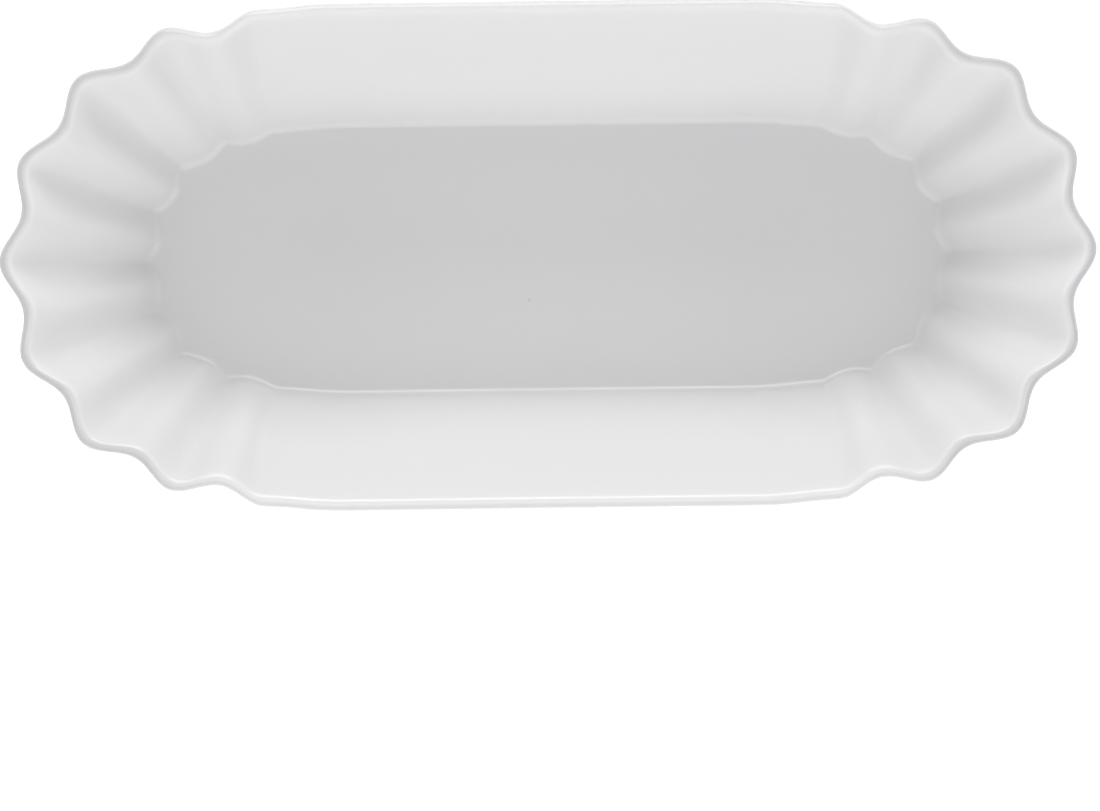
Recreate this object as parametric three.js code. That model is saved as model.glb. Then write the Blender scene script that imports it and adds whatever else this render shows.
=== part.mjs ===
// A deep oblong serving dish in glazed porcelain: a flat floor, two straight sloping long walls, two
// half-round ends pleated into flutes, a rolled lip round the whole rim and a low bare foot below.
// Units are millimetres. The dish stands on the plane z = 0, its length runs along X and its width
// along Y, and its origin is the middle of its footprint.
import * as THREE from 'three';
import { mergeVertices } from 'three/addons/utils/BufferGeometryUtils.js';

// Overall size, outside the lip.
const dish_length = 240;
const dish_width = 110.8;
const dish_height = 45;

// From the centre a half-round end is drawn about to the lip's outside, at the tip of the dish.
const end_reach = 57.5;
// How far the wall leans out between the table and the lip, at the tips and on the long sides.
const end_overhang = 28.6;
const side_overhang = 23.6;

// Flutes round each half-round end, counted from one long wall to the other.
const flutes_per_end = 8;
// How deep the flutes are pressed in at the lip, at the table and where they meet the floor.
const rim_flute_depth = 4.1;
const base_flute_depth = 1.9;
const toe_flute_depth = 1.9;
// The flutes beside each long wall stand back from the round of the end.
const shoulder_inset = 1.5;
const shoulder_start = THREE.MathUtils.degToRad(50);

// Floor, wall and foot.
const floor_top = 4;
const foot_height = 1;
const foot_width = 3.2;
const base_rounding = 1.8;
const end_wall_at_floor = 2.3;
const side_wall_at_floor = 2.9;
const wall_at_rim = 2.7;

// The rolled lip, round in section. It is lowest where a flute swells out at the tips of the dish.
const lip_radius = 1.6;
const lip_dip = 1.5;
// The round runs on below its widest by this angle, in degrees, before it meets the wall.
const lip_undercut_angle = 30;
// The lip piece starts at this height, well below its lowest point.
const lip_seam = dish_height - lip_dip - 4;

// Fineness of the facets.
const steps_per_flute = 6;
const wall_rows = 5;
const straight_steps = 4;
const lip_arc_steps = 8;

const quarter_turn = Math.PI / 2;
const flutes_per_quarter = flutes_per_end / 2;
const steps_per_end = flutes_per_end * steps_per_flute;
const half_straight = dish_length / 2 - end_reach;
const side_reach = dish_width / 2;
const lip_line_height = dish_height - lip_radius;

const mix = (from, to, share) => from + (to - from) * share;

// Steepest at the tips and gone at the long walls.
const tip_share = (angle) => 1 - Math.sin(angle) ** 2;

// A smooth swelling from nothing at shoulder_start to its most beside the long wall and back to nothing.
function shoulder(angle) {
  const share = (Math.abs(angle) - shoulder_start) / (quarter_turn - shoulder_start);
  return share > 0 && share < 1 ? Math.sin(Math.PI * share) ** 2 : 0;
}

// A distance that differs between the tips and the long sides, at an angle from the dish's length.
const around = (at_tip, at_side, angle) => mix(at_side, at_tip, tip_share(angle));

// 0 where a flute swells outwards and 1 where it is pressed in. A low power pinches the inside of the
// outward swells, and the outside of the inward ones, as an even wall does when it is bent that sharply.
const flute_phase = (angle) => (Math.PI * angle * flutes_per_quarter) / quarter_turn;
const pressed_inside = (angle, power) => Math.abs(Math.sin(flute_phase(angle))) ** power;
const pressed_outside = (angle, power) => 1 - Math.abs(Math.cos(flute_phase(angle))) ** power;

const shallow_power = 1.2;
const round_power = 2;

// Height of the middle of the lip's round section.
function lip_height_at(angle) {
  const swell = 1 - pressed_inside(angle, round_power);
  return lip_line_height - lip_dip * swell * tip_share(angle);
}

// Reach of the middle of the lip's round section from the line the dish is drawn about.
function lip_reach_at(angle) {
  const plain = around(end_reach, side_reach, angle) - lip_radius;
  const inset = shoulder_inset * shoulder(angle);
  return plain - inset - rim_flute_depth * pressed_inside(angle, round_power);
}

// Reach of the wall's outside at a height.
function outside(angle, height) {
  const share = height / lip_height_at(angle);
  const plain = around(end_reach - end_overhang, side_reach - side_overhang, angle);
  const power = mix(shallow_power, round_power, share);
  const pressed = base_flute_depth * pressed_outside(angle, power);
  const at_base = plain - shoulder_inset * shoulder(angle) - pressed;
  const at_lip = lip_reach_at(angle) + wall_at_rim / 2;
  const below_rounding = Math.max(0, base_rounding - height);
  const rounded = base_rounding - Math.sqrt(base_rounding ** 2 - below_rounding ** 2);
  return mix(at_base, at_lip, share) - rounded;
}

// Reach of the wall's inside at a height.
function inside(angle, height) {
  const share = (height - floor_top) / (lip_height_at(angle) - floor_top);
  const plain_end = end_reach - end_overhang + end_overhang * (floor_top / lip_line_height);
  const plain_side = side_reach - side_overhang + side_overhang * (floor_top / lip_line_height);
  const wall = around(end_wall_at_floor, side_wall_at_floor, angle);
  const plain = around(plain_end, plain_side, angle) - wall;
  const power = mix(shallow_power, round_power, share);
  const pressed = toe_flute_depth * pressed_inside(angle, power);
  const at_floor = plain - shoulder_inset * shoulder(angle) - pressed;
  const at_lip = lip_reach_at(angle) - wall_at_rim / 2;
  return mix(at_floor, at_lip, share);
}

// A station is one upright cut through the wall: where it starts on the dish's centre line and the
// way it faces. Round an end all start at one point, and along a straight wall they stand side by side.
function end_stations(side) {
  const stations = [];
  for (let step = 0; step <= steps_per_end; step += 1) {
    const angle = mix(-quarter_turn, quarter_turn, step / steps_per_end);
    const square_on = step === 0 || step === steps_per_end;
    const along = square_on ? 0 : Math.cos(angle);
    stations.push({ start: side * half_straight, facing: [side * along, side * Math.sin(angle)], angle });
  }
  return stations;
}

function wall_stations(side) {
  const stations = [];
  for (let step = 0; step <= straight_steps; step += 1) {
    const start = side * mix(half_straight, -half_straight, step / straight_steps);
    stations.push({ start, facing: [0, side], angle: quarter_turn });
  }
  return stations;
}

// Once round the dish, anticlockwise from above, with no station twice.
function all_stations() {
  const runs = [end_stations(1), wall_stations(1), end_stations(-1), wall_stations(-1)];
  return runs.flatMap((run) => run.slice(0, -1));
}

const place = (station, reach, height) => [
  station.start + station.facing[0] * reach,
  station.facing[1] * reach,
  height,
];

// Makes one closed body from a geometry class's own corners and faces, once each corner is in place.
function closed_body(geometry, move_corner) {
  const corners = geometry.attributes.position;
  for (let index = 0; index < corners.count; index += 1) {
    const corner = new THREE.Vector3().fromBufferAttribute(corners, index);
    corners.setXYZ(index, ...move_corner(corner, index));
  }
  geometry.deleteAttribute('normal');
  geometry.deleteAttribute('uv');
  const merged = mergeVertices(geometry, 1e-4);
  merged.computeVertexNormals();
  return merged;
}

// A length of wall between the floor and the lip: a block whose corners go onto the wall's two faces.
function wall_between(stations) {
  const last = stations.length - 1;
  const block = new THREE.BoxGeometry(1, 1, 1, last, 1, wall_rows);
  return closed_body(block, (corner) => {
    const station = stations[Math.round((corner.x + 0.5) * last)];
    const row = Math.round((corner.z + 0.5) * wall_rows);
    const height = mix(floor_top, lip_seam, row / wall_rows);
    const reach = corner.y < 0 ? outside : inside;
    return place(station, reach(station.angle, height), height);
  });
}

// The rolled lip: a ring whose round section is reshaped into the lip's own.
function rolled_lip() {
  const stations = all_stations();
  const arc_start = THREE.MathUtils.degToRad(-lip_undercut_angle);
  const arc_end = Math.PI - arc_start;
  const section_corners = lip_arc_steps + 1 + 2;
  const ring = new THREE.TorusGeometry(2, 1, section_corners, stations.length);
  const row_length = stations.length + 1;
  return closed_body(ring, (corner, index) => {
    const section_corner = Math.floor(index / row_length) % section_corners;
    const station = stations[(index % row_length) % stations.length];
    if (section_corner > lip_arc_steps) {
      const reach = section_corner === lip_arc_steps + 1 ? inside : outside;
      return place(station, reach(station.angle, lip_seam), lip_seam);
    }
    const turn = mix(arc_start, arc_end, section_corner / lip_arc_steps);
    const reach = lip_reach_at(station.angle) + lip_radius * Math.cos(turn);
    const height = lip_height_at(station.angle) + lip_radius * Math.sin(turn);
    return place(station, reach, height);
  });
}

// An outline seen from above, from its reach at each angle round the ends.
function oblong(reach_at) {
  return all_stations().map((station) => {
    const [x, y] = place(station, reach_at(station.angle), 0);
    return new THREE.Vector2(x, y);
  });
}

// A slab between two heights with its edge following the dish's outside at each. Corners nearer to the
// centre line than edge_from belong to a hole, and stay where they are.
function slab(bottom, top, steps, holes, edge_from) {
  const shape = new THREE.Shape(oblong((angle) => outside(angle, top)));
  shape.holes = holes;
  const solid = new THREE.ExtrudeGeometry(shape, { depth: top - bottom, steps, bevelEnabled: false });
  return closed_body(solid, (corner) => {
    const start = THREE.MathUtils.clamp(corner.x, -half_straight, half_straight);
    const across = new THREE.Vector2(corner.x - start, corner.y);
    const height = bottom + corner.z;
    if (across.length() < edge_from) return [corner.x, corner.y, height];
    const angle = Math.atan2(Math.abs(across.y), Math.abs(across.x));
    across.multiplyScalar(outside(angle, height) / outside(angle, top));
    return [start + across.x, across.y, height];
  });
}

// The foot is a band, hollowed at one distance from the centre line all round: its width in from
// the narrowest place of the dish's underside, whether that is round the ends or along the sides.
function foot() {
  const plain = Math.min(end_reach - end_overhang, side_reach - side_overhang);
  const narrowest = plain - base_flute_depth - shoulder_inset - base_rounding;
  const hole_reach = narrowest - foot_width;
  const hole = new THREE.Path(oblong(() => hole_reach));
  return slab(0, foot_height, 2, [hole], mix(hole_reach, narrowest, 0.5));
}

const glazed = { color: 0xf3f3f2, roughness: 0.12, metalness: 0 };
const bare = { color: 0xe6e2da, roughness: 0.75, metalness: 0 };

function piece(name, geometry, finish) {
  const mesh = new THREE.Mesh(geometry, new THREE.MeshStandardMaterial(finish));
  mesh.name = name;
  return mesh;
}

const group = new THREE.Group();
group.add(piece('foot_rim', foot(), bare));
group.add(piece('floor_plate', slab(foot_height, floor_top, 3, [], 0), glazed));
group.add(piece('back_wall', wall_between(wall_stations(1)), glazed));
group.add(piece('front_wall', wall_between(wall_stations(-1)), glazed));
group.add(piece('right_fluted_end', wall_between(end_stations(1)), glazed));
group.add(piece('left_fluted_end', wall_between(end_stations(-1)), glazed));
group.add(piece('rolled_lip', rolled_lip(), glazed));

export default group;
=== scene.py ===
"""A deep oblong serving platter in white glazed porcelain, with fluted half-round ends.

One continuous glazed shell stands for the floor, the walls, the fluted ends and the rolled lip, and a
bare foot rim carries it. Every size is in metres.
"""

import logging
import math
from dataclasses import dataclass, field
from enum import Enum
from typing import Any, Callable

import bpy
from mathutils import Matrix, Vector


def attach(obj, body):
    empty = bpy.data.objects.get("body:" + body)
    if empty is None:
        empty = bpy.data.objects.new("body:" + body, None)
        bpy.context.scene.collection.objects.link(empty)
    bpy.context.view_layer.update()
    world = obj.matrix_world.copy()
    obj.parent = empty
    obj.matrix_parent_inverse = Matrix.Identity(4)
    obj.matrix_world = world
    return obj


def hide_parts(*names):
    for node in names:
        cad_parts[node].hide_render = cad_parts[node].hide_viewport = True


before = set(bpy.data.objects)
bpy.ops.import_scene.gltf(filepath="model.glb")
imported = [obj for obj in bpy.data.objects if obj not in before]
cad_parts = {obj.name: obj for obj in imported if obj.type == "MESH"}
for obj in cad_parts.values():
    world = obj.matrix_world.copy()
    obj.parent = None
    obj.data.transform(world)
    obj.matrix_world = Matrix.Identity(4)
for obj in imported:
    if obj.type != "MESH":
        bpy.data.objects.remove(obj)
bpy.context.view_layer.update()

log = logging.getLogger("platter")

MM = 0.001
# A term is a wire or a plain number, a point is a reach and a height, and a span is where an easing
# starts and ends. A section gives a point for a share of the way across a band.
Term = Any
Point = tuple[Term, Term]
Span = tuple[float, float]
Colour = tuple[float, float, float, float]
Section = Callable[["Platter", "Wire"], Point]


class Wire:
    """An output socket that can be used in Python arithmetic.

    Each operator adds one Math node to the tree that the socket belongs to.
    """

    def __init__(self, tree: "Tree", socket: bpy.types.NodeSocket) -> None:
        """Keeps the socket with its tree.

        Args:
            tree: The tree the socket is in.
            socket: The output socket.
        """
        self.tree = tree
        self.socket = socket

    def __add__(self, other: Term) -> "Wire":
        """Adds."""
        return self.tree.maths("ADD", self, other)

    __radd__ = __add__

    def __sub__(self, other: Term) -> "Wire":
        """Takes the other away."""
        return self.tree.maths("SUBTRACT", self, other)

    def __rsub__(self, other: Term) -> "Wire":
        """Is taken away from the other."""
        return self.tree.maths("SUBTRACT", other, self)

    def __mul__(self, other: Term) -> "Wire":
        """Multiplies."""
        return self.tree.maths("MULTIPLY", self, other)

    __rmul__ = __mul__

    def __truediv__(self, other: Term) -> "Wire":
        """Divides by the other."""
        return self.tree.maths("DIVIDE", self, other)

    def __rtruediv__(self, other: Term) -> "Wire":
        """Divides the other."""
        return self.tree.maths("DIVIDE", other, self)

    def __abs__(self) -> "Wire":
        """Drops the sign."""
        return self.tree.maths("ABSOLUTE", self)

    def clamped(self) -> "Wire":
        """Keeps within 0 and 1."""
        return self.tree.maths("MINIMUM", self.tree.maths("MAXIMUM", self, 0.0), 1.0)

    def eased(self, start: float, end: float) -> "Wire":
        """Rises smoothly from 0 to 1.

        Args:
            start: The value that gives 0.
            end: The value that gives 1.

        Returns:
            The eased share.
        """
        share = ((self - start) / (end - start)).clamped()
        return share * share * (3.0 - 2.0 * share)


@dataclass(frozen=True)
class Grain:
    """A seeded noise: its cells to a metre, how many finer layers it has, and its seed."""

    scale: float
    detail: float
    seed: float


class Tree:
    """A node tree that is wired up in code."""

    def __init__(self, nodes: bpy.types.NodeTree) -> None:
        """Keeps the tree.

        Args:
            nodes: The tree that nodes are added to.
        """
        self.nodes = nodes

    def add(self, kind: str, settings: dict[str, Any] | None = None, **values: Term) -> bpy.types.Node:
        """Adds a node of any type.

        Args:
            kind: The node's type.
            settings: Its settings, which are set first.
            **values: A value or a wire for a socket: in_0 for the first, or the socket's name with _
                for a space.

        Returns:
            The node.
        """
        node = self.nodes.nodes.new(kind)
        for name, setting in (settings or {}).items():
            setattr(node, name, setting)
        for name, value in values.items():
            key = int(name[3:]) if name.startswith("in_") else name.replace("_", " ")
            self.feed(node.inputs[key], value)
        return node

    def feed(self, socket: bpy.types.NodeSocket, value: Term) -> None:
        """Gives an input socket a value or a link.

        Args:
            socket: The input socket.
            value: A wire, an output socket or a plain value.
        """
        source = value.socket if isinstance(value, Wire) else value
        if isinstance(source, bpy.types.NodeSocket):
            self.nodes.links.new(source, socket)
        else:
            socket.default_value = source

    def wire(
        self, kind: str, output: str | int = 0, settings: dict[str, Any] | None = None, **values: Term
    ) -> Wire:
        """Adds a node and takes one of its outputs.

        Args:
            kind: The node's type.
            output: The output's name or number.
            settings: The node's settings.
            **values: Values or wires for its sockets.

        Returns:
            The output.
        """
        return Wire(self, self.add(kind, settings, **values).outputs[output])

    def maths(self, operation: str, *terms: Term) -> Wire:
        """Adds one Math node.

        Args:
            operation: The node's operation.
            *terms: One to three values or wires.

        Returns:
            The result.
        """
        sockets = {f"in_{place}": term for place, term in enumerate(terms)}
        return self.wire("ShaderNodeMath", 0, {"operation": operation}, **sockets)

    def blend(self, start: Term, end: Term, share: Term) -> Wire:
        """Goes from one value to another.

        Args:
            start: The value at 0.
            end: The value at 1.
            share: Where between them.

        Returns:
            The value there.
        """
        return start + (end - start) * share

    def noise(self, where: Term, grain: Grain) -> Wire:
        """Adds seeded noise about 0.5.

        Args:
            where: The coordinates.
            grain: The noise.

        Returns:
            The noise's value.
        """
        values = {"Vector": where, "W": grain.seed, "Scale": grain.scale, "Detail": grain.detail}
        return self.wire("ShaderNodeTexNoise", 0, {"noise_dimensions": "4D"}, **values)

    def mix_colours(self, start: Term, end: Term, share: Term) -> Wire:
        """Mixes two colours.

        Args:
            start: The colour at 0.
            end: The colour at 1.
            share: How much of the second.

        Returns:
            The mixed colour.
        """
        node = self.add("ShaderNodeMix", {"data_type": "RGBA", "clamp_factor": True})
        self.feed(node.inputs[0], share)
        self.feed(node.inputs[6], start)
        self.feed(node.inputs[7], end)
        return Wire(self, node.outputs[2])

    def bump(self, height: Wire, strength: float, depth: float, **values: Term) -> Wire:
        """Adds a Bump node.

        Args:
            height: What raises the surface.
            strength: How much of the bump shows.
            depth: How deep it is, in metres.
            **values: Values or wires for its other sockets.

        Returns:
            The bumped normal.
        """
        values |= {"Strength": strength, "Distance": depth, "Height": height}
        return self.wire("ShaderNodeBump", 0, None, **values)

    def surface(self, **values: Term) -> None:
        """Ends a material's tree in one Principled shader.

        Args:
            **values: Values or wires for its sockets.
        """
        shader = self.add("ShaderNodeBsdfPrincipled", None, **values)
        self.add("ShaderNodeOutputMaterial", None, Surface=shader.outputs[0])


def blank_tree(owner: bpy.types.Material | bpy.types.World) -> Tree:
    """Gives a material or a world an empty node tree.

    Args:
        owner: The material or the world.

    Returns:
        Its tree.
    """
    owner.use_nodes = True
    owner.node_tree.nodes.clear()
    return Tree(owner.node_tree)


@dataclass(frozen=True)
class Sizes:
    """The platter's sizes, in metres.

    A reach is measured level, out from the line the platter is drawn about. The line runs along the
    middle, from the centre of one half-round end to the centre of the other.
    """

    length: float = 239.8 * MM
    width: float = 110.6 * MM
    height: float = 44.9 * MM
    end_reach: float = 57.4 * MM
    end_overhang: float = 28.6 * MM
    side_overhang: float = 23.6 * MM
    flutes: float = 8.0
    rim_flute_depth: float = 4.0 * MM
    base_flute_depth: float = 1.9 * MM
    toe_flute_depth: float = 2.0 * MM
    shoulder_inset: float = 1.2 * MM
    floor_top: float = 4.0 * MM
    foot_height: float = 1.0 * MM
    end_wall_at_floor: float = 2.3 * MM
    side_wall_at_floor: float = 2.9 * MM
    wall_at_rim: float = 3.1 * MM
    lip_radius: float = 1.6 * MM
    lip_dip: float = 1.5 * MM
    floor_fillet: float = 1.6 * MM
    base_rounding: float = 2.2 * MM
    corner_inset: float = 1.1 * MM

    def sockets(self) -> dict[str, float]:
        """Names every size in plain words for a tree's inputs."""
        return {name.replace("_", " "): value for name, value in vars(self).items()}


class Round(Enum):
    """How sharply a flute is folded, as the softness of its fold at the floor and at the rim."""

    INSIDE = (0.12, 0.75)
    OUTSIDE = (0.10, 0.7)


class Platter:
    """The rules of the platter's form, written as expressions in a Geometry Nodes tree."""

    shoulder_start: float = math.radians(50)
    steps_per_end: int = 8 * 24
    steps_per_wall: int = 24
    columns: int = 2 * (steps_per_end + steps_per_wall)
    # Lip radii from the lip's middle in to the line of the inner face, at the height of the lip's middle.
    inner_set: float = 1.1
    rim_softness: float = 1.3
    # The corner where a long wall meets an end is drawn in from this share of a quarter turn, and over
    # this share of the long wall.
    corner_from: float = 0.83
    corner_share: float = 0.12
    # How far the base's rounding turns in, as a share of its height.
    base_turn_in: float = 0.55
    # Points of neighbouring bands that are closer than this are made one.
    weld: float = 2e-6
    # How the firing moves the body: cells to a metre, finer layers, and the heights it grows between.
    stir_scale: float = 22.0
    stir_detail: float = 1.0
    stir_heights: Span = (3 * MM, 12 * MM)

    def __init__(self, tree: Tree, size: dict[str, Wire]) -> None:
        """Sets up the rules, and where each column and row of a band's net stands.

        Args:
            tree: The tree to write in.
            size: Its size inputs, by name.
        """
        self.tree = tree
        self.size = size
        net = tree.add("ShaderNodeSeparateXYZ", None, Vector=tree.wire("GeometryNodeInputPosition"))
        column = tree.maths("ROUND", (Wire(tree, net.outputs["X"]) + 0.5) * self.columns)
        self.share = Wire(tree, net.outputs["Y"]) + 0.5
        half_steps = self.columns // 2
        lap = tree.maths("FLOOR", (column + 0.25) / half_steps)
        side = 1.0 - 2.0 * tree.maths("MODULO", lap, 2.0)
        step = column - lap * half_steps
        share = (step / self.steps_per_end).clamped()
        travel = ((step - self.steps_per_end) / self.steps_per_wall).clamped()
        self.angle = (share - 0.5) * math.pi
        self.start = side * (size["length"] / 2.0 - size["end reach"]) * (1.0 - 2.0 * travel)
        self.along = side * tree.maths("COSINE", self.angle)
        self.across = side * tree.maths("SINE", self.angle)
        self.tip = 1.0 - tree.maths("SINE", self.angle) * tree.maths("SINE", self.angle)
        phase = self.angle * size["flutes"]
        self.swell_sine = tree.maths("SINE", phase)
        self.press_sine = tree.maths("COSINE", phase)
        span = math.pi / 2 - self.shoulder_start
        hump = ((abs(self.angle) - self.shoulder_start) / span).clamped()
        bump = tree.maths("SINE", hump * math.pi)
        turned = (abs(self.angle) / (math.pi / 2)).eased(self.corner_from, 1.0)
        past = tree.maths("MINIMUM", travel, 1.0 - travel) / self.corner_share
        drawn_in = turned * (1.0 - past.eased(0.0, 1.0))
        self.inset = size["shoulder inset"] * bump * bump + size["corner inset"] * drawn_in
        self.side_reach = size["width"] / 2.0
        swell = self.press_sine * self.press_sine * self.tip
        self.lip_height = size["height"] - size["lip radius"] - size["lip dip"] * swell
        plain = self.around(size["end reach"], self.side_reach) - size["lip radius"] - self.inset
        self.lip_reach = plain - size["rim flute depth"] * self.fold(self.swell_sine, self.rim_softness)
        inner_line = self.lip_reach - size["lip radius"] * self.inner_set
        self.lip_inside, self.lip_outside = inner_line, inner_line + size["wall at rim"]
        base_end = size["end reach"] - size["end overhang"]
        self.base_reach = self.around(base_end, self.side_reach - size["side overhang"])
        rise = size["floor top"] / self.lip_height
        floor_end = size["end reach"] - size["end overhang"] * (1.0 - rise) - size["end wall at floor"]
        floor_side = self.side_reach - size["side overhang"] * (1.0 - rise) - size["side wall at floor"]
        self.floor_reach = self.around(floor_end, floor_side) - self.inset

    def around(self, at_tip: Term, at_side: Term) -> Wire:
        """Eases a size from the tips of the platter to its long sides."""
        return self.tree.blend(at_side, at_tip, self.tip)

    def fold(self, sine: Wire, softness: Term) -> Wire:
        """Turns a sine into a fold that is 0 where the sine is and 1 at its peaks.

        Args:
            sine: The sine.
            softness: Near 0 for a sharp crease, and 1 or more for a round one.

        Returns:
            The fold.
        """
        tree = self.tree
        soft = tree.maths("MULTIPLY", softness, softness)
        deep = tree.maths("SQRT", sine * sine + soft)
        return (deep - softness) / (tree.maths("SQRT", soft + 1.0) - softness)

    def softness(self, sharpness: Round, share: Wire) -> Wire:
        """Eases a fold's softness up the wall."""
        low, high = sharpness.value
        return self.tree.blend(low, high, share * share)

    def outside(self, height: Term) -> Wire:
        """Gives the reach of the wall's outer face.

        Args:
            height: The height to give it at.

        Returns:
            The reach there.
        """
        share = self.tree.maths("DIVIDE", height, self.lip_height)
        pressed = 1.0 - self.fold(self.press_sine, self.softness(Round.OUTSIDE, share))
        at_base = self.base_reach - self.inset - self.size["base flute depth"] * pressed
        return self.tree.blend(at_base, self.lip_outside, share)

    def inside(self, height: Term) -> Wire:
        """Gives the reach of the wall's inner face.

        Args:
            height: The height to give it at.

        Returns:
            The reach there.
        """
        floor = self.size["floor top"]
        share = self.tree.maths("SUBTRACT", height, floor) / (self.lip_height - floor)
        pressed = self.fold(self.swell_sine, self.softness(Round.INSIDE, share.clamped()))
        at_floor = self.floor_reach - self.size["toe flute depth"] * pressed
        return self.tree.blend(at_floor, self.lip_inside, share)

    def base_points(self) -> list[Point]:
        """Gives the shell's lowest corner, which turns in to meet the foot.

        Returns:
            The points where it starts, of its corner, and where it ends.
        """
        foot, rounding = self.size["foot height"], self.size["base rounding"]
        top = foot + rounding
        reach = self.outside(foot)
        turned_in = reach - rounding * self.base_turn_in
        return [(self.outside(top), top), (reach, foot), (turned_in, foot)]

    def arc(self, points: list[Point], share: Wire) -> Point:
        """Rounds a corner with a quadratic curve.

        Args:
            points: Its start, its corner and its end.
            share: How far along it.

        Returns:
            The point there.
        """
        ends = []
        for first, corner, last in zip(*points):
            leaving = self.tree.blend(first, corner, share)
            ends.append(self.tree.blend(leaving, self.tree.blend(corner, last, share), share))
        return ends[0], ends[1]

    def strip(self, rows: int, section: Section, glaze: dict[str, Term]) -> Wire:
        """Adds one band of the net, from one line round the platter to the next.

        Args:
            rows: How many rows of faces it has.
            section: Gives the point at a share of the way across the band.
            glaze: What the glaze does on it and the shade painted on it, by the attribute's name.

        Returns:
            The band's mesh.
        """
        tree = self.tree
        counts = {"Vertices_X": self.columns + 1, "Vertices_Y": rows + 1}
        grid = tree.wire("GeometryNodeMeshGrid", "Mesh", None, Size_X=1.0, Size_Y=1.0, **counts)
        reach, height = section(self, self.share)
        along = self.start + self.along * reach
        place = tree.wire("ShaderNodeCombineXYZ", 0, None, X=along, Y=self.across * reach, Z=height)
        for name, value in glaze.items():
            settings = {"data_type": "FLOAT", "domain": "POINT"}
            values = {"Geometry": grid, "Name": name, "Value": value}
            grid = tree.wire("GeometryNodeStoreNamedAttribute", 0, settings, **values)
        return tree.wire("GeometryNodeSetPosition", 0, None, Geometry=grid, Position=place)

    def close(self, strips: list[Wire], finish: bpy.types.Material, stir: float) -> Wire:
        """Joins the bands into one closed, smooth body.

        Args:
            strips: The bands, in order along the section.
            finish: The body's material.
            stir: How far the firing has moved it, in metres.

        Returns:
            The finished mesh.
        """
        tree = self.tree
        join = tree.add("GeometryNodeJoinGeometry")
        for strip in reversed(strips):
            tree.nodes.links.new(strip.socket, join.inputs[0])
        values = {"Geometry": join.outputs[0], "Distance": self.weld}
        merged = tree.wire("GeometryNodeMergeByDistance", 0, None, **values)
        if stir:
            merged = self.stirred(merged, stir)
        flipped = tree.wire("GeometryNodeFlipFaces", 0, None, Mesh=merged)
        smooth = tree.wire("GeometryNodeSetShadeSmooth", 0, None, in_0=flipped)
        real = tree.wire("GeometryNodeRealizeInstances", 0, None, Geometry=smooth)
        return tree.wire("GeometryNodeSetMaterial", 0, None, Geometry=real, Material=finish)

    def stirred(self, mesh: Wire, stir: float) -> Wire:
        """Moves the body a little, slowly varying from place to place, as firing does.

        Args:
            mesh: The body.
            stir: How far it may move, in metres.

        Returns:
            The moved body.
        """
        tree = self.tree
        here = tree.wire("GeometryNodeInputPosition")
        values = {"Vector": here, "W": self.size["firing seed"]}
        values |= {"Scale": self.stir_scale, "Detail": self.stir_detail}
        noise = tree.wire("ShaderNodeTexNoise", "Color", {"noise_dimensions": "4D"}, **values)
        middle = (0.5, 0.5, 0.5)
        centred = tree.wire("ShaderNodeVectorMath", 0, {"operation": "SUBTRACT"}, in_0=noise, in_1=middle)
        place = tree.add("ShaderNodeSeparateXYZ", None, Vector=here)
        lifted = Wire(tree, place.outputs["Z"]).eased(*self.stir_heights) * (2.0 * stir)
        offset = tree.wire("ShaderNodeVectorMath", 0, {"operation": "SCALE"}, in_0=centred, Scale=lifted)
        return tree.wire("GeometryNodeSetPosition", 0, None, Geometry=mesh, Offset=offset)


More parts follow.
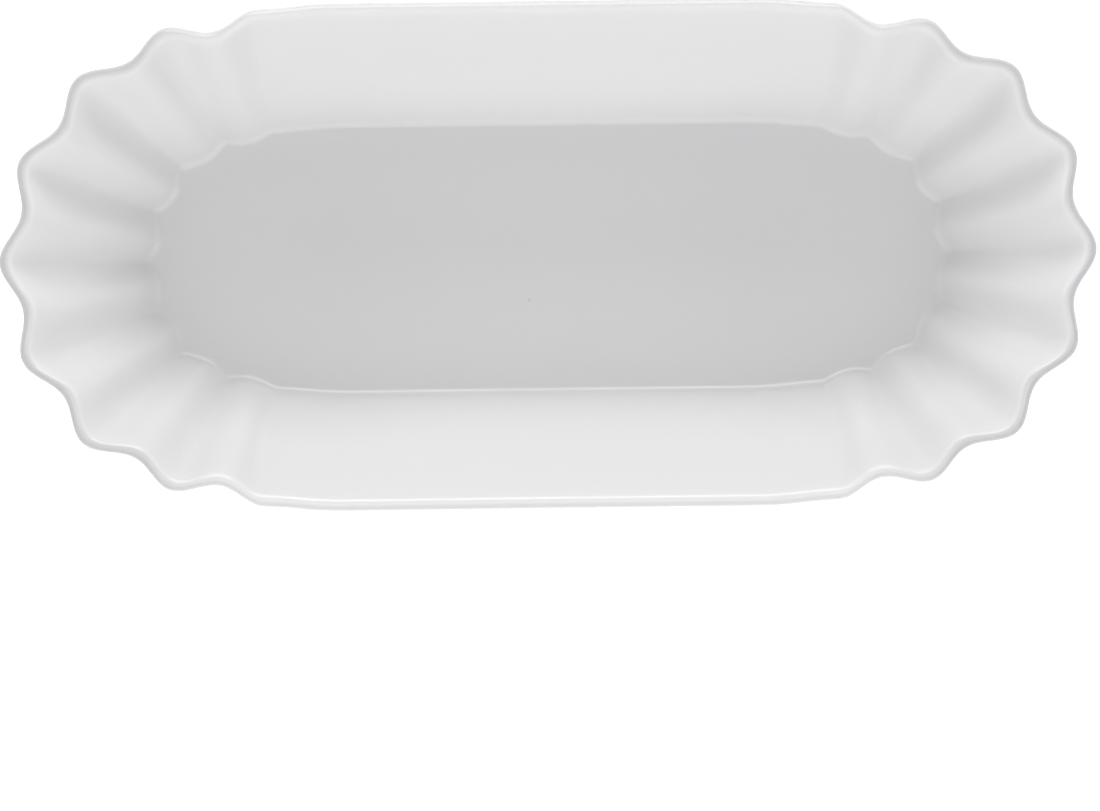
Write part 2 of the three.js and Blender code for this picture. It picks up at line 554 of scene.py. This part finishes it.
@dataclass(frozen=True)
class GlazedPorcelain:
    """Clear gloss glaze over white porcelain."""

    body: Colour = (0.702, 0.700, 0.698, 1.0)
    pooled: Colour = (0.690, 0.689, 0.700, 1.0)
    # Painted shade: the grey that darkens the lip's outer edge into an outline and dims the lip's top
    # round the ends.
    thin: Colour = (0.48, 0.48, 0.495, 1.0)
    pinhole: Colour = (0.50, 0.49, 0.47, 1.0)
    pinhole_place: tuple[float, float, float] = (-4.4 * MM, -10.2 * MM, 4.0 * MM)
    pinhole_size: Span = (0.1 * MM, 0.55 * MM)
    pinhole_strength: float = 0.5
    cloud: Grain = Grain(38.0, 3.0, 1.7)
    satin: Grain = Grain(160.0, 2.0, 4.1)
    scuff: Grain = Grain(110.0, 3.0, 9.4)
    wave: Grain = Grain(120.0, 2.0, 6.9)
    peel: Grain = Grain(900.0, 1.0, 2.3)
    cloud_tone: float = 0.5
    # Scuffs are drawn out along one heading, and only the noise's peaks show.
    scuff_turn: float = 0.5
    scuff_stretch: float = 14.0
    scuff_peaks: Span = (0.58, 0.78)
    # The roughness, and how far the satin, the clouds and the scuffs change it.
    roughness: float = 0.09
    satin_roughness: float = 0.05
    cloud_roughness: float = 0.04
    scuff_roughness: float = 0.1
    wave_strength: float = 0.35
    wave_depth: float = 0.06 * MM
    peel_strength: float = 0.25
    peel_depth: float = 0.01 * MM
    refraction: float = 1.5

    def colour(self, tree: Tree, here: Wire, cloud: Wire, pool: Wire) -> Wire:
        """Mixes the glaze's colour, with painted shade on the lip and the pinhole speck.

        Args:
            tree: The material's tree.
            here: The object's coordinates.
            cloud: The slow clouding.
            pool: How much the glaze has pooled.

        Returns:
            The colour.
        """
        tone = (pool + (cloud - 0.5) * self.cloud_tone).clamped()
        # Painted shade on the lip, read from its attribute: a dark outline at the outer edge and a dimmer
        # top round the ends.
        bare = tree.wire("ShaderNodeAttribute", "Fac", {"attribute_name": "glaze_thin"})
        glaze = tree.mix_colours(tree.mix_colours(self.body, self.pooled, tone), self.thin, bare)
        settings = {"operation": "DISTANCE"}
        apart = tree.wire("ShaderNodeVectorMath", "Value", settings, in_0=here, in_1=self.pinhole_place)
        speck = (1.0 - apart.eased(*self.pinhole_size)) * self.pinhole_strength
        return tree.mix_colours(glaze, self.pinhole, speck)

    def material(self) -> bpy.types.Material:
        """Builds the material.

        Returns:
            The glaze, which reads the attributes that say where it pools and where shade is painted on
            the lip.
        """
        material = bpy.data.materials.new("glazed_porcelain")
        tree = blank_tree(material)
        here = tree.wire("ShaderNodeTexCoord", "Object")
        cloud = tree.noise(here, self.cloud)
        pool = tree.wire("ShaderNodeAttribute", "Fac", {"attribute_name": "glaze_pool"})
        colour = self.colour(tree, here, cloud, pool)
        satin = tree.noise(here, self.satin)
        stretch = {"Rotation": (0.0, 0.0, self.scuff_turn), "Scale": (1.0, self.scuff_stretch, 1.0)}
        lines = tree.wire("ShaderNodeMapping", 0, None, Vector=here, **stretch)
        scuff = pool * tree.noise(lines, self.scuff).eased(*self.scuff_peaks)
        rough = self.roughness + (satin - 0.5) * self.satin_roughness
        rough = rough + (cloud - 0.5) * self.cloud_roughness + scuff * self.scuff_roughness
        swell = tree.bump(tree.noise(here, self.wave), self.wave_strength, self.wave_depth)
        skin = tree.bump(tree.noise(here, self.peel), self.peel_strength, self.peel_depth, Normal=swell)
        tree.surface(Base_Color=colour, Roughness=rough, Normal=skin, IOR=self.refraction)
        return material


@dataclass(frozen=True)
class BareBiscuit:
    """Unglazed porcelain, wiped and rubbed smooth so that it doesn't scratch a table."""

    body: Colour = (0.69, 0.68, 0.655, 1.0)
    rubbed: Colour = (0.60, 0.59, 0.565, 1.0)
    rub: Grain = Grain(90.0, 4.0, 3.3)
    grain: Grain = Grain(2600.0, 2.0, 8.2)
    # Where the rubbed patches show, and how much they and the grain change the colour.
    rub_patches: Span = (0.45, 0.75)
    rub_tone: float = 0.7
    grain_tone: float = 0.3
    # The roughness, how far the grain changes it, and where and how far rubbing lowers it.
    roughness: float = 0.62
    grain_roughness: float = 0.2
    rub_polish: Span = (0.5, 0.8)
    rub_roughness: float = 0.14
    bump_strength: float = 0.5
    bump_depth: float = 0.03 * MM

    def material(self) -> bpy.types.Material:
        """Builds the material.

        Returns:
            The bare biscuit.
        """
        material = bpy.data.materials.new("bare_biscuit")
        tree = blank_tree(material)
        here = tree.wire("ShaderNodeTexCoord", "Object")
        rub, grain = tree.noise(here, self.rub), tree.noise(here, self.grain)
        wear = rub.eased(*self.rub_patches) * self.rub_tone + (grain - 0.5) * self.grain_tone
        colour = tree.mix_colours(self.body, self.rubbed, wear)
        rough = self.roughness + (grain - 0.5) * self.grain_roughness
        rough = rough - rub.eased(*self.rub_polish) * self.rub_roughness
        normal = tree.bump(grain, self.bump_strength, self.bump_depth)
        tree.surface(Base_Color=colour, Roughness=rough, Normal=normal)
        return material


@dataclass
class FormedPiece:
    """A piece made by a Geometry Nodes tree and then kept as a plain mesh."""

    name: str
    slot: str
    nodes: tuple[str, ...]
    size: Sizes = field(default_factory=Sizes)
    seed: float = 3.0

    def write(self, platter: Platter, finish: bpy.types.Material) -> Wire:
        """Writes the piece's own part of the tree.

        Args:
            platter: The platter's rules, in the piece's tree.
            finish: The piece's material.

        Returns:
            The finished mesh.
        """
        raise NotImplementedError

    def build(self, finish: bpy.types.Material) -> bpy.types.Object:
        """Makes the piece.

        Args:
            finish: Its material.

        Returns:
            The finished object, with no modifier on it.
        """
        group = bpy.data.node_groups.new(self.name, "GeometryNodeTree")
        group.interface.new_socket(name="Geometry", in_out="OUTPUT", socket_type="NodeSocketGeometry")
        values = self.size.sockets() | {"firing seed": self.seed}
        identifiers = {}
        for name in values:
            item = group.interface.new_socket(name=name, in_out="INPUT", socket_type="NodeSocketFloat")
            identifiers[name] = item.identifier
        tree = Tree(group)
        given = tree.add("NodeGroupInput")
        size = {name: Wire(tree, given.outputs[name]) for name in values}
        mesh = self.write(Platter(tree, size), finish)
        tree.add("NodeGroupOutput", None, Geometry=mesh)
        piece = bpy.data.objects.new(self.name, bpy.data.meshes.new(self.name + "_seed"))
        bpy.context.scene.collection.objects.link(piece)
        modifier = piece.modifiers.new("form", "NODES")
        modifier.node_group = group
        for name, value in values.items():
            modifier[identifiers[name]] = value
        shaped = piece.evaluated_get(bpy.context.evaluated_depsgraph_get())
        plain = bpy.data.meshes.new_from_object(shaped)
        piece.modifiers.clear()
        piece.data = plain
        plain.name = self.name
        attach(piece, "root")
        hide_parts(*self.nodes)
        log.info("%s: %d faces, stands for %s", self.name, len(plain.polygons), ", ".join(self.nodes))
        return piece


@dataclass
class PorcelainShell(FormedPiece):
    """The glazed body: floor, walls, fluted ends, rolled lip and underside in one skin."""

    name: str = "porcelain_shell"
    slot: str = "glazed_porcelain"
    nodes: tuple[str, ...] = (
        "floor_plate",
        "back_wall",
        "front_wall",
        "right_fluted_end",
        "left_fluted_end",
        "rolled_lip",
    )
    stir: float = 0.12 * MM
    neck_turn: float = math.radians(-35)
    # Heights from the lip's middle, in lip radii: where the inner face starts to round over, and where
    # the neck below the lip has its corner and its end.
    round_from: float = 0.2
    neck_corner: float = 1.4
    neck_end: float = 2.6
    # How quickly the fluted ends take over from the sides.
    end_gain: float = 4.0
    # Where the glaze pools: how narrow the creases and the outer valleys are, how much of it gathers at
    # the wall's foot and up to what share of the wall, and where it runs out up a crease.
    crease_gain: float = 2.2
    valley_gain: float = 3.0
    valley_pool: float = 0.8
    toe_loss: float = 0.4
    foot_pool: float = 0.6
    foot_share: float = 0.12
    crease_fades: Span = (0.5, 1.0)
    # How much shade is painted on the lip, at the tips of the platter and along its sides, and where it
    # grows and fades again across the lip's bands. It darkens the lip's outer edge into an outline and
    # dims the lip's top at the ends.
    thin_at_tip: float = 0.6
    thin_at_side: float = 0.47
    tip_overlap: float = 0.13
    round_thins: Span = (0.3, 1.0)
    lip_thins: Span = (-0.05, 0.25)
    lip_thickens: Span = (0.5, 0.8)

    def write(self, platter: Platter, finish: bpy.types.Material) -> Wire:
        """Writes the bands of the body, from the middle of the floor round to the middle below.

        Args:
            platter: The platter's rules, in the piece's tree.
            finish: The glaze.

        Returns:
            The finished body.
        """
        bands = [
            (6, self.floor),
            (7, self.toe),
            (26, self.inner_face),
            (9, self.inner_round),
            (12, self.lip),
            (7, self.neck),
            (22, self.outer_face),
            (7, self.base_corner),
            (5, self.underside),
        ]
        pools, lip_shades = self.pooling(platter), self.thinning(platter)
        strips = []
        for rows, section in bands:
            # Each band gets its glaze pooling and its painted lip shade as attributes.
            glaze = {"glaze_pool": pools.get(section), "glaze_thin": lip_shades.get(section)}
            given = {name: value for name, value in glaze.items() if value is not None}
            strips.append(platter.strip(rows, section, given))
        return platter.close(strips, finish, self.stir)

    def at_ends(self, form: Platter) -> Wire:
        """Gives 1 round the fluted ends and 0 along the sides."""
        return (form.tip * self.end_gain).clamped()

    def pooling(self, form: Platter) -> dict[Section, Term]:
        """Lets the glaze pool on the floor, at the wall's foot and in the creases.

        Args:
            form: The platter's rules.

        Returns:
            How much it has pooled on each band where it does.
        """
        share, ends = form.share, self.at_ends(form)
        crease = (1.0 - abs(form.swell_sine) * self.crease_gain).eased(0.0, 1.0) * ends
        valley = (1.0 - abs(form.press_sine) * self.valley_gain).eased(0.0, 1.0) * ends
        foot = (1.0 - share.eased(0.0, self.foot_share)) * self.foot_pool * (1.0 - crease)
        return {
            self.floor: 1.0,
            self.toe: 1.0 - share * self.toe_loss * (1.0 - crease),
            self.inner_face: foot + crease * (1.0 - share.eased(*self.crease_fades)),
            self.outer_face: valley * self.valley_pool,
        }

    def thinning(self, form: Platter) -> dict[Section, Term]:
        """Paints shade on the lip, as a dark outline along its outer edge and a dimmer top, most of all
        at the tips of the platter.

        Args:
            form: The platter's rules.

        Returns:
            How much shade is painted on each band where there is some.
        """
        # Painted shade: strongest round the ends, growing across the lip's top and fading again below its
        # widest.
        share, lean = form.share, self.thin_at_tip * self.at_ends(form)
        grown = share.eased(*self.lip_thins)
        edge = lean + (self.thin_at_side - lean * self.tip_overlap) * grown
        return {
            self.inner_round: lean * share.eased(*self.round_thins),
            self.lip: edge * (1.0 - share.eased(*self.lip_thickens)),
        }

    @staticmethod
    def toe_points(form: Platter) -> list[Point]:
        """Gives the rounding between the floor and the wall.

        Args:
            form: The platter's rules.

        Returns:
            The points where it starts, of its corner, and where it ends.
        """
        floor, fillet = form.size["floor top"], form.size["floor fillet"]
        corner = form.inside(floor)
        top = floor + fillet
        return [(corner - fillet, floor), (corner, floor), (form.inside(top), top)]

    def floor(self, form: Platter, share: Wire) -> Point:
        """Runs from the middle out to the rounding at the wall's foot."""
        start = self.toe_points(form)[0]
        return start[0] * share, start[1]

    def toe(self, form: Platter, share: Wire) -> Point:
        """Rounds the floor up into the wall."""
        return form.arc(self.toe_points(form), share)

    def inner_face(self, form: Platter, share: Wire) -> Point:
        """Runs up the wall's inner face to the lip.

        Args:
            form: The platter's rules.
            share: How far across the band.

        Returns:
            The point there.
        """
        low = form.size["floor top"] + form.size["floor fillet"]
        height = form.tree.blend(low, self.round_start(form), share)
        return form.inside(height), height

    def round_start(self, form: Platter) -> Wire:
        """Gives the height at which the inner face starts to round over."""
        return form.lip_height + form.size["lip radius"] * self.round_from

    def inner_round(self, form: Platter, share: Wire) -> Point:
        """Rounds the inner face over to the top of the lip."""
        low, top = self.round_start(form), form.lip_height + form.size["lip radius"]
        return form.arc([(form.inside(low), low), (form.inside(top), top), (form.lip_reach, top)], share)

    def lip(self, form: Platter, share: Wire) -> Point:
        """Rounds over from the top of the lip to just below its widest.

        Args:
            form: The platter's rules.
            share: How far across the band.

        Returns:
            The point there.
        """
        first = math.pi / 2
        turn = first + (self.neck_turn - first) * share
        radius = form.size["lip radius"]
        reach = form.lip_reach + radius * form.tree.maths("COSINE", turn)
        return reach, form.lip_height + radius * form.tree.maths("SINE", turn)

    def neck(self, form: Platter, share: Wire) -> Point:
        """Runs in below the lip to the wall's outer face.

        Args:
            form: The platter's rules.
            share: How far across the band.

        Returns:
            The point there.
        """
        radius = form.size["lip radius"]
        start = (
            form.lip_reach + radius * math.cos(self.neck_turn),
            form.lip_height + radius * math.sin(self.neck_turn),
        )
        middle = form.lip_height - radius * self.neck_corner
        low = form.lip_height - radius * self.neck_end
        return form.arc([start, (form.outside(middle), middle), (form.outside(low), low)], share)

    def outer_face(self, form: Platter, share: Wire) -> Point:
        """Runs down the wall's outer face to the base's rounding.

        Args:
            form: The platter's rules.
            share: How far across the band.

        Returns:
            The point there.
        """
        high = form.lip_height - form.size["lip radius"] * self.neck_end
        low = form.size["foot height"] + form.size["base rounding"]
        height = form.tree.blend(high, low, share)
        return form.outside(height), height

    def base_corner(self, form: Platter, share: Wire) -> Point:
        """Turns under at the base."""
        return form.arc(form.base_points(), share)

    def underside(self, form: Platter, share: Wire) -> Point:
        """Runs in to the middle below."""
        reach, foot = form.base_points()[2]
        return reach * (1.0 - share), foot


@dataclass
class FootRim(FormedPiece):
    """The bare band that the platter stands on."""

    name: str = "foot_band"
    slot: str = "bare_foot"
    nodes: tuple[str, ...] = ("foot_rim",)
    hole_reach: float = 20.5 * MM
    edge: float = 0.6 * MM

    def write(self, platter: Platter, finish: bpy.types.Material) -> Wire:
        """Writes the band's outer side, sole, inner side and top.

        Args:
            platter: The platter's rules, in the piece's tree.
            finish: The bare biscuit.

        Returns:
            The finished band.
        """
        bands = [(5, self.outer_side), (5, self.sole), (5, self.inner_side), (4, self.top)]
        strips = [platter.strip(rows, section, {}) for rows, section in bands]
        return platter.close(strips, finish, 0.0)

    def outer_side(self, form: Platter, share: Wire) -> Point:
        """Carries the base's rounding down to the table."""
        reach, foot = form.base_points()[2]
        return form.arc([(reach, foot), (reach, 0.0), (reach - self.edge, 0.0)], share)

    def sole(self, form: Platter, share: Wire) -> Point:
        """Runs level along the table."""
        reach = form.base_points()[2][0] - self.edge
        return form.tree.blend(reach, self.hole_reach + self.edge, share), 0.0

    def inner_side(self, form: Platter, share: Wire) -> Point:
        """Rounds up to the underside."""
        hole, foot = self.hole_reach, form.size["foot height"]
        return form.arc([(hole + self.edge, 0.0), (hole, 0.0), (hole, foot)], share)

    def top(self, form: Platter, share: Wire) -> Point:
        """Runs back out under the shell."""
        reach, foot = form.base_points()[2]
        return form.tree.blend(self.hole_reach, reach, share), foot


class LampSide(Enum):
    """A lamp: its heading from the length and its elevation in degrees, its watts and its depth."""

    FRONT = (-90.0, 55.0, 9.7, 1.05)
    BACK_LOW = (90.0, 26.0, 4.46, 0.5)
    BACK_HIGH = (90.0, 40.0, 2.38, 0.5)


@dataclass(frozen=True)
class PaleTop:
    """A pale table top that glows a little, so that nothing casts a hard edge on it."""

    body: Colour = (0.9, 0.9, 0.9, 1.0)
    near_glow: Colour = (0.2, 0.2, 0.2, 1.0)
    far_glow: Colour = (0.62, 0.62, 0.62, 1.0)
    glow_distances: Span = (0.4, 2.2)
    grain: Grain = Grain(700.0, 3.0, 5.2)
    roughness: float = 0.8
    grain_roughness: float = 0.15
    bump_strength: float = 0.2
    bump_depth: float = 0.05 * MM

    def material(self) -> bpy.types.Material:
        """Builds the material.

        Returns:
            The table top's finish.
        """
        material = bpy.data.materials.new("pale_table")
        tree = blank_tree(material)
        here = tree.wire("ShaderNodeTexCoord", "Object")
        away = tree.wire("ShaderNodeVectorMath", "Value", {"operation": "LENGTH"}, in_0=here)
        glow = tree.mix_colours(self.near_glow, self.far_glow, away.eased(*self.glow_distances))
        grain = tree.noise(here, self.grain)
        rough = self.roughness + (grain - 0.5) * self.grain_roughness
        tooth = tree.bump(grain, self.bump_strength, self.bump_depth)
        values = {"Base_Color": self.body, "Emission_Color": glow, "Emission_Strength": 1.0}
        tree.surface(Roughness=rough, Normal=tooth, **values)
        return material


@dataclass(frozen=True)
class Room:
    """Soft light from all round, in bands by height, from 0 at the horizon to 1 overhead."""

    colour: Colour = (1.0, 0.998, 1.0, 1.0)
    low: float = 0.5
    horizon: float = 0.45
    ring: float = 1.88
    upper: float = 0.16
    overhead: float = 0.36
    horizon_ends: Span = (0.06, 0.16)
    ring_starts: Span = (0.22, 0.30)
    ring_ends: Span = (0.44, 0.56)
    upper_starts: Span = (0.64, 0.78)
    overhead_starts: Span = (0.87, 0.94)

    def fill(self) -> None:
        """Fills the room with light that is brightest in a ring about a third of the way up."""
        world = bpy.data.worlds.new("room")
        tree = blank_tree(world)
        facing = tree.wire("ShaderNodeTexCoord", "Generated")
        height = Wire(tree, tree.add("ShaderNodeSeparateXYZ", None, Vector=facing).outputs["Z"])
        rising = height.eased(*self.ring_starts)
        ring = rising * (1.0 - height.eased(*self.ring_ends))
        horizon = 1.0 - height.eased(*self.horizon_ends)
        brightness = (1.0 - rising) * self.low + horizon * self.horizon + ring * self.ring
        brightness = brightness + height.eased(*self.upper_starts) * self.upper
        brightness = brightness + height.eased(*self.overhead_starts) * self.overhead
        light = tree.add("ShaderNodeBackground", None, Color=self.colour, Strength=brightness)
        tree.add("ShaderNodeOutputWorld", None, Surface=light.outputs[0])
        bpy.context.scene.world = world


@dataclass
class Studio:
    """A pale glowing table, soft lamps in front and behind, and the camera above."""

    table_half: float = 3.0
    table_drop: float = 0.1 * MM
    lamp_distance: float = 1.1
    lamp_aspect: float = 1.8
    # The camera's distance is measured up from the rim.
    rim_height: float = 43.4 * MM
    camera_distance: float = 0.790
    focal_length: float = 118.41
    sensor_width: float = 36.0
    aim_forward: float = 32.8 * MM
    roll: float = math.radians(0.734)

    def lay_table(self, finish: bpy.types.Material) -> bpy.types.Object:
        """Makes the table top, just below what stands on it.

        Args:
            finish: Its material.

        Returns:
            The table top.
        """
        half, low = self.table_half, -self.table_drop
        mesh = bpy.data.meshes.new("table_top")
        corners = [(-half, -half, low), (half, -half, low), (half, half, low), (-half, half, low)]
        mesh.from_pydata(corners, [], [(0, 1, 2, 3)])
        mesh.materials.append(finish)
        table = bpy.data.objects.new("table_top", mesh)
        bpy.context.scene.collection.objects.link(table)
        return table

    def hang_lamp(self, side: LampSide) -> bpy.types.Object:
        """Hangs one soft lamp, aimed at the platter.

        Args:
            side: Where it hangs.

        Returns:
            The lamp.
        """
        light = bpy.data.lights.new("lamp_" + side.name.lower(), "AREA")
        light.shape = "RECTANGLE"
        heading, elevation, light.energy, light.size_y = side.value
        light.size = light.size_y * self.lamp_aspect
        lamp = bpy.data.objects.new(light.name, light)
        across = Matrix.Rotation(math.radians(heading), 3, "Z")
        turn = across @ Matrix.Rotation(-math.radians(elevation), 3, "Y")
        place = turn @ Vector((self.lamp_distance, 0.0, 0.0))
        lamp.location = place
        lamp.rotation_euler = (-place).to_track_quat("-Z", "Y").to_euler()
        bpy.context.scene.collection.objects.link(lamp)
        return lamp

    def place_camera(self) -> bpy.types.Object:
        """Looks straight down from above the platter, aimed a little in front of it.

        Returns:
            The camera.
        """
        data = bpy.data.cameras.new("camera")
        data.lens = self.focal_length
        data.sensor_width = self.sensor_width
        camera = bpy.data.objects.new("camera", data)
        place = Matrix.Translation((0.0, 0.0, self.rim_height + self.camera_distance))
        tilt = Matrix.Rotation(-math.atan(self.aim_forward / self.camera_distance), 4, "X")
        camera.matrix_world = place @ tilt @ Matrix.Rotation(-self.roll, 4, "Z")
        bpy.context.scene.collection.objects.link(camera)
        bpy.context.scene.camera = camera
        return camera

    def build(self) -> None:
        """Sets up the whole studio."""
        self.lay_table(PaleTop().material())
        for side in LampSide:
            self.hang_lamp(side)
        Room().fill()
        self.place_camera()
        bpy.context.scene.view_settings.view_transform = "Standard"
        log.info("studio: %d lamps, a table and a camera", len(LampSide))


def main() -> None:
    """Builds the platter and the studio."""
    logging.basicConfig(level=logging.INFO, format="%(name)s: %(message)s")
    PorcelainShell().build(GlazedPorcelain().material())
    FootRim().build(BareBiscuit().material())
    Studio().build()


if __name__ == "__main__":
    main()
